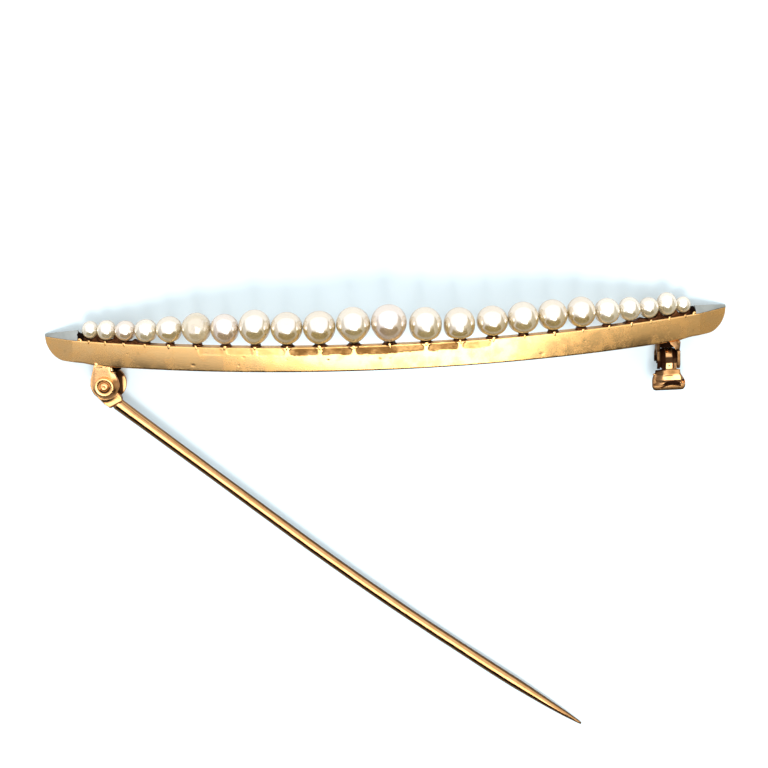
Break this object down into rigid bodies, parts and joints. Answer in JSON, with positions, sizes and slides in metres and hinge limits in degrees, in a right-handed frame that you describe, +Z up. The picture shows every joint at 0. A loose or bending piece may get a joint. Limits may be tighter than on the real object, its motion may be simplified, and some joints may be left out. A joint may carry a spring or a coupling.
{
  "type": "crescent brooch with a row of pearls, a hinged pin and a turning safety catch",
  "caption": "Slim arched gold crescent brooch with graduated pearls along its front edge, pointed pale tips, a hinged pin and a turning safety catch; it pins to cloth.",
  "frame": {"origin": "on the surface the brooch stands on, in the middle of the box round the whole open brooch", "axes": "+X from the hinge's tip to the catch's tip, +Y towards the pearls, +Z up, from the surface to the top of the arch"},
  "size_m": [0.055, 0.0384, 0.0083],
  "materials": {
    "yellow_gold": "polished gold with fine wear",
    "rose_gold": "polished reddish gold",
    "platinum": "soft grey polish",
    "pearl": "pearl lustre"
  },
  "bodies": {
    "crescent": {"crescent_bar": "yellow_gold", "left_tip_cap": "platinum", "right_tip_cap": "platinum", "hinge_rivet": "rose_gold", "pearl_01": "pearl", "pearl_02": "pearl", "pearl_03": "pearl", "pearl_04": "pearl", "pearl_05": "pearl", "pearl_06": "pearl", "pearl_07": "pearl", "pearl_08": "pearl", "pearl_09": "pearl", "pearl_10": "pearl", "pearl_11": "pearl", "pearl_12": "pearl", "pearl_13": "pearl", "pearl_14": "pearl", "pearl_15": "pearl", "pearl_16": "pearl", "pearl_17": "pearl", "pearl_18": "pearl", "pearl_19": "pearl", "pearl_20": "pearl", "pearl_21": "pearl", "pearl_22": "pearl", "pearl_23": "pearl"},
    "pin": {"pin_stem": "rose_gold"},
    "catch": {"catch_collar": "rose_gold"}
  },
  "joints": [
    {"name": "pin_hinge", "type": "hinge", "parent": "crescent", "child": "pin", "pos_m": [-0.0228, 0.0126, 0.0018], "axis": [0, -0.0526, 0.9986], "range_deg": [-50, 40.4]},
    {"name": "catch_turn", "type": "hinge", "parent": "crescent", "child": "catch", "pos_m": [0.0225, 0.01275, 0.00181], "axis": [-1, 0, 0], "range_deg": [0, 90]}
  ]
}
